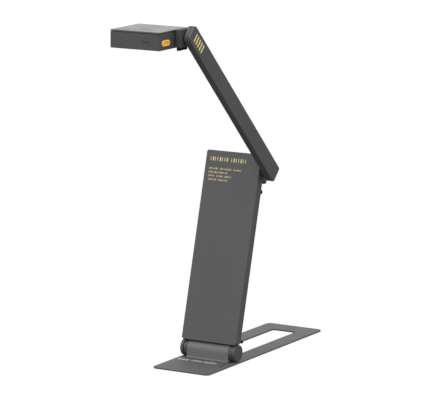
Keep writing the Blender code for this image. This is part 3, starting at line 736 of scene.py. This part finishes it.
def make_stand_print():
    face = (1, cad_box("stand_front_cover")[0].y + 0.02, -1)
    title = dashes(-26.3, 16.9, 2.7, (0.75, 1.5, 0.75), [(-7.2, -4.4)])
    print_row("stand_print_title", "stand", title, (189.9, 193.9), face)
    rows = [  # start, end, middle height, breaks
        (-26.7, 11.4, 182.0, [(-16.8, -15.4), (0.2, 1.6)]),
        (-26.7, -4.5, 178.2, []),
        (-26.5, 0.5, 174.5, [(-19.0, -17.6), (-9.6, -8.4)]),
        (-25.9, -2.7, 170.7, [(-16.6, -15.2)]),
    ]
    for number, (start, end, middle, breaks) in enumerate(rows, 1):
        spans = dashes(start, end, 1.6, (0.5, 0.9, 0.5, 0.5), breaks)
        print_row(f"stand_print_row_{number}", "stand", spans, (middle - 0.9, middle + 0.9), face)


# Arm


def arm_outline(low, high, inset=0.0):
    """Small corners at the arm's foot and rear edge, and a large one at its nose."""
    corner, nose = ARM_CORNER - inset / 2, ARM_NOSE - inset
    margin = Vector((0, inset, inset))
    low, high = low + margin, high - margin
    points = arc((low.y + corner, low.z + corner), corner, 180, 270, 8)
    points += arc((high.y - corner, low.z + corner), corner, 270, 360, 8)
    points += arc((high.y - corner, high.z - corner), corner, 0, 90, 8)
    points += arc((low.y + nose, high.z - nose), nose, 90, 180, 20)
    return points


def make_arm():
    low, high = cad_box("arm_outer_cover")
    inner_low, inner_high = cad_box("arm_inner_cover")
    hollow = (arm_outline(low, high, ARM_WALL), inner_low.x + ARM_WALL, high.x - ARM_WALL)
    outer = bar(arm_outline(low, high), low.x, high.x - INK, 0.15, 0.4)
    piece("arm_outer_cover_fine", outer, "arm_outer_cover", cuts=[bar(*hollow)])
    cuts = [bar(*hollow), rod(ELBOW_BORE, 35.0, 40.0), rod(WRIST_BORE, 35.0, 40.0, at=(0, ARM_REACH))]
    for number in range(1, 5):
        node = f"arm_screw_{number}"
        screw_low, screw_high = cad_box(node)
        cuts.append(countersink((0.0, (screw_low.z + screw_high.z) / 2), screw_low.x, 4.0, "X"))
        screw(node, "X")
    inner = bar(arm_outline(inner_low, inner_high), inner_low.x, inner_high.x, 0.4, 0.15)
    piece("arm_inner_cover_fine", inner, "arm_inner_cover", cuts=cuts)
    boss_low, boss_high = cad_box("elbow_boss")
    boss = rod(BOSS_RADIUS, boss_low.x, boss_high.x, edge=0.5, bore=ELBOW_BORE)
    piece("elbow_boss_fine", boss, "elbow_boss")
    spans = dashes(193.9, 214.2, 4.3, (2.1,))
    face = (0, high.x - INK, 1)
    print_row("arm_print", "arm", spans, (-4.6, 4.6), face, along=2, thickness=INK, ink="bright_ink")


# Head


def pill(low, high, axis, low_edge=0.0, high_edge=0.0, edge_steps=4):
    """A bar whose ends are half round in the plane across the axis."""
    index = "XYZ".index(axis)
    narrow = min(high[i] - low[i] for i in range(3) if i != index)
    return block(low, high, axis, narrow / 2 - 0.02, 12, low_edge, high_edge, edge_steps)


def grown(box, amounts):
    low, high = box
    extra = Vector(amounts)
    return low - extra, high + extra


def make_wrist():
    low, high = cad_box("wrist_block")
    plug_low, plug_high = cad_box("wrist_plug")
    pocket = block(plug_low - Vector((GAP, GAP, -1)), plug_high + Vector((GAP, GAP, GAP)))
    cuts = [rod(WRIST_BORE, low.x - 1, high.x + 1), pocket]
    body = block(low, high, "Z", 1.4, 8, low_edge=0.5, high_edge=0.5)
    piece("wrist_block_fine", body, "wrist_block", material="wrist_paint", cuts=cuts)
    plug = block(plug_low, plug_high, "Z", 1.0, 6, low_edge=0.6, high_edge=0.1)
    piece("wrist_plug_fine", plug, "wrist_plug", material="seam_shadow")
    low, high = cad_box("wrist_washer")
    washer = rod(WASHER_RADIUS, low.x, high.x, edge=0.15, bore=WRIST_BORE)
    piece("wrist_washer_fine", washer, "wrist_washer")


def head_screw_places():
    """The places of the head's screws, as (x, y)."""
    middles = [sum(cad_box(f"head_screw_{number}"), Vector()) / 2 for number in range(1, 5)]
    return [(middle.x, middle.y) for middle in middles]


def light_window_box():
    """The low and high corners of the light window without its flange."""
    low, high = cad_box("light_window")
    return Vector((-6.0, -35.5, low.z)), Vector((6.0, -32.5, high.z - 0.2))


def make_head_shell():
    low, high = cad_box("head_shell")
    hollow_low = low + Vector((WALL, WALL, WALL))
    hollow_high = high + Vector((-WALL, -WALL, 5))
    mic_gap = 0.12
    cuts = [
        block(hollow_low, hollow_high, "Z", HEAD_INNER_CORNER, 3),
        rod(BEZEL_RADIUS + GAP, low.z - 1, low.z + 2, "Z", LENS_AT),
        pill(*grown(cad_box("focus_button"), (3, GAP, GAP)), "X"),
        pill(*grown(cad_box("microphone_cover"), (mic_gap, 3, mic_gap)), "Y"),
        pill(*grown(light_window_box(), (GAP, GAP, 2)), "Z"),
        rod(WRIST_BORE, high.x - 4, high.x + 1),
    ]
    for number, at in enumerate(head_screw_places(), 1):
        node = f"head_screw_{number}"
        cuts.append(countersink(at, cad_box(node)[0].z, 4.0))
        screw(node, "Z")
    shell = block(low, high, "Z", HEAD_CORNER, 6, low_edge=0.5, high_edge=0.12)
    piece("head_shell_fine", shell, "head_shell", cuts=cuts)


def make_head_cover():
    """The top cover, with a lip that reaches into the shell, its screw bosses and a faint mark on top."""
    low, high = cad_box("head_top_cover")
    cover = block((low.x, low.y, HEAD_SEAM), high, "Z", HEAD_CORNER, 6, low_edge=0.12, high_edge=0.4)
    inset, lip_wall = WALL + GAP, 1.2
    lip_low = Vector((low.x + inset, low.y + inset, HEAD_SEAM - 1.7))
    lip_high = Vector((high.x - inset, high.y - inset, HEAD_SEAM + 0.9))
    lip = block(lip_low, lip_high, "Z", HEAD_INNER_CORNER, 3)
    hollow = block(lip_low + Vector((lip_wall, lip_wall, -1)), lip_high - Vector((lip_wall, lip_wall, 0.6)))
    piece("head_top_cover_fine", cover, "head_top_cover", material="head_top", joins=[lip], cuts=[hollow])
    bosses = [rod(2.2, low.z, HEAD_SEAM + 0.5, "Z", at, bore=0.9, steps=32) for at in head_screw_places()]
    piece("head_top_bosses", several(bosses), body="head", material="graphite", slot="graphite")
    marks = dashes(-3.0, 12.0, 3.0, (1.8,))
    print_row("head_print", "head", marks, (-27.0, -20.0), (2, high.z, 1), thickness=INK, ink="faint_ink")


def make_lens():
    """The bezel, the barrel with three steps down to the glass, and the domed glass."""
    bottom = cad_box("head_shell")[0].z
    edge = 0.35
    profile = [(6.3, bottom + 1.2), (BEZEL_RADIUS, bottom + 1.2), (BEZEL_RADIUS, bottom + edge)]
    profile += arc((BEZEL_RADIUS - edge, bottom + edge), edge, 0, -90, 4)
    profile += [(7.4, bottom), (7.15, bottom + 0.25), (6.7, bottom + 0.3), (6.3, bottom + 0.7)]
    piece("lens_bezel_fine", turned(profile, at=LENS_AT, steps=96, closed=True), "lens_bezel")
    front, rear = bottom + 0.9, 0.2
    profile = [(0, rear), (5.9, rear), (6.0, rear - 0.1), (6.0, front + 0.1), (5.9, front), (5.5, front)]
    for step in range(3):
        radius, height = 5.5 - 0.3 * step, front + 0.25 * step
        profile += [(radius, height + 0.1), (radius - 0.3, height + 0.25)]
    profile += [(4.6, -2.0), (0, -2.0)]
    piece("lens_barrel_fine", turned(profile, at=LENS_AT, steps=96), "lens_barrel")
    low, high = cad_box("lens_glass")
    sag, radius = 0.7, 4.3
    curve = (radius * radius + sag * sag) / (2 * sag)
    half = math.degrees(math.asin(radius / curve))
    dome = arc((0, low.z + curve), curve, -90, -90 + half, 12)
    profile = dome + [(radius, high.z - 0.1), (radius - 0.1, high.z), (0, high.z)]
    piece("lens_glass_fine", turned(profile, at=LENS_AT, steps=96), "lens_glass")


def make_light_window():
    low, high = cad_box("light_window")
    flange_low = Vector((low.x, low.y, cad_box("head_shell")[0].z + WALL + 0.1))
    flange = block(flange_low, high, "Z", 1.5, 8)
    window = pill(*light_window_box(), "Z", low_edge=0.25)
    piece("light_window_fine", window, "light_window", joins=[flange])


def make_microphone():
    """The microphone's cover, with five small holes in a row."""
    low, high = cad_box("microphone_cover")
    middle = (low + high) / 2
    pitch = 1.5
    holes = [
        rod(0.32, low.y - 1, low.y + 0.6, "Y", (middle.x + step * pitch, middle.z), steps=16)
        for step in range(-2, 3)
    ]
    cover = pill(low, high, "Y", low_edge=0.15)
    piece("microphone_cover_fine", cover, "microphone_cover", material="mesh_paint", cuts=holes)


def make_button():
    """A pale translucent rim round a deeper amber cap, which sits a little lower."""
    low, high = cad_box("focus_button")
    rim_width, drop, floor = 1.0, 0.3, 0.8
    inset = Vector((0, rim_width, rim_width))
    rim = pill(low, high, "X", 0.2, 0.5)
    well = pill(low + inset + Vector((floor, 0, 0)), high - inset + Vector((1, 0, 0)), "X")
    piece("focus_button_rim", rim, "focus_button", material="amber_rim", cuts=[well])
    clear = 0.06
    cap_low = low + inset + Vector((floor + 0.05, clear, clear))
    cap_high = high - inset - Vector((drop, clear, clear))
    cap = pill(cap_low, cap_high, "X", 0.0, 0.35)
    piece("focus_button_cap", cap, body="button", material="amber", slot="amber")


# What isn't replaced, and the studio


def finish_nodes():
    """Gives each CAD node that still shows its procedural material."""
    for name, node in frame["nodes"].items():
        node.data.materials.clear()
        node.data.materials.append(MATERIALS[SLOT_OF[name]])


FLOOR_SIZE = 30.0  # metres
FLOOR_COLOUR = 0.03
FLOOR_GLOW = 0.97


def make_floor():
    bpy.ops.mesh.primitive_plane_add(size=FLOOR_SIZE, location=(0, 0, 0))
    floor = bpy.context.object
    floor.name = "studio_floor"
    material = bpy.data.materials.new("studio_floor")
    material.use_nodes = True
    shader = material.node_tree.nodes["Principled BSDF"]
    shader.inputs["Base Color"].default_value = (FLOOR_COLOUR, FLOOR_COLOUR, FLOOR_COLOUR, 1)
    shader.inputs["Emission Color"].default_value = (1, 1, 1, 1)
    shader.inputs["Emission Strength"].default_value = FLOOR_GLOW
    shader.inputs["Roughness"].default_value = 0.9
    shader.inputs["Specular IOR Level"].default_value = 0.0
    floor.data.materials.append(material)
    # It is nearly all its own light, so no shadow shows, and the object sees the dimmer lower sky instead.
    floor.visible_diffuse = False
    floor.visible_glossy = False
    floor.visible_shadow = False


SKY_FRONT = 1.0
SKY_RIGHT = 0.86
SKY_TOP = 1.35
SKY_BELOW = 0.22


def make_sky():
    """A soft box all round: bright above and in front, dimmer on the right and below."""
    world = bpy.data.worlds.new("studio_sky")
    bpy.context.scene.world = world
    world.use_nodes = True
    tree = world.node_tree
    background = tree.nodes["Background"]
    background.inputs["Color"].default_value = (1, 1, 1, 1)

    def remap(value, low, high, out_low, out_high):
        node = tree.nodes.new("ShaderNodeMapRange")
        node.interpolation_type = "SMOOTHSTEP"
        for name, number in zip(("From Min", "From Max", "To Min", "To Max"), (low, high, out_low, out_high)):
            node.inputs[name].default_value = number
        tree.links.new(value, node.inputs["Value"])
        return node.outputs["Result"]

    def combine(operation, first, second):
        node = tree.nodes.new("ShaderNodeMath")
        node.operation = operation
        tree.links.new(first, node.inputs[0])
        tree.links.new(second, node.inputs[1])
        return node.outputs["Value"]

    split = tree.nodes.new("ShaderNodeSeparateXYZ")
    tree.links.new(tree.nodes.new("ShaderNodeTexCoord").outputs["Generated"], split.inputs["Vector"])
    side = remap(split.outputs["X"], 0.15, 0.95, SKY_FRONT, SKY_RIGHT)
    up = remap(split.outputs["Z"], 0.2, 0.9, 1.0, SKY_TOP)
    below = remap(split.outputs["Z"], -0.25, 0.05, SKY_BELOW, 1.0)
    strength = combine("MULTIPLY", combine("MULTIPLY", side, up), below)
    tree.links.new(strength, background.inputs["Strength"])


KEY_PLACE = (-1.6, -2.2, 2.6)
KEY_TARGET = (0, 0, 0.15)
KEY_SIZE = (1.6, 1.6)
KEY_POWER = 22.0


def make_light(name, place, target, size, power):
    light = bpy.data.lights.new(name, "AREA")
    light.shape = "RECTANGLE"
    light.size, light.size_y = size
    light.energy = power
    thing = bpy.data.objects.new(name, light)
    bpy.context.scene.collection.objects.link(thing)
    thing.location = place
    thing.rotation_euler = (Vector(target) - Vector(place)).to_track_quat("-Z", "Y").to_euler()


CAMERA_PLACE = (1.5389, -2.5596, 0.7131)
CAMERA_DOWN = 10.415  # degrees
CAMERA_TURN = 30.944  # degrees round from the front towards the right
CAMERA_LENS = 254.9


def make_camera():
    camera = bpy.data.cameras.new("camera")
    camera.sensor_width = 36.0
    camera.lens = CAMERA_LENS
    camera.clip_start = 0.05
    camera.clip_end = 60.0
    thing = bpy.data.objects.new("camera", camera)
    bpy.context.scene.collection.objects.link(thing)
    thing.location = CAMERA_PLACE
    thing.rotation_euler = (math.radians(90 - CAMERA_DOWN), 0.0, math.radians(CAMERA_TURN))
    bpy.context.scene.camera = thing


make_base()
make_hinge_bracket()
make_base_hinge("left", -1)
make_base_hinge("right", 1)
make_stand_front()
make_stand_back()
make_stand_rubber()
make_stand_print()
make_arm()
make_wrist()
make_head_shell()
make_head_cover()
make_lens()
make_light_window()
make_microphone()
make_button()
finish_nodes()
make_floor()
make_sky()
make_light("key", KEY_PLACE, KEY_TARGET, KEY_SIZE, KEY_POWER)
make_camera()
bpy.context.scene.view_settings.view_transform = "Standard"
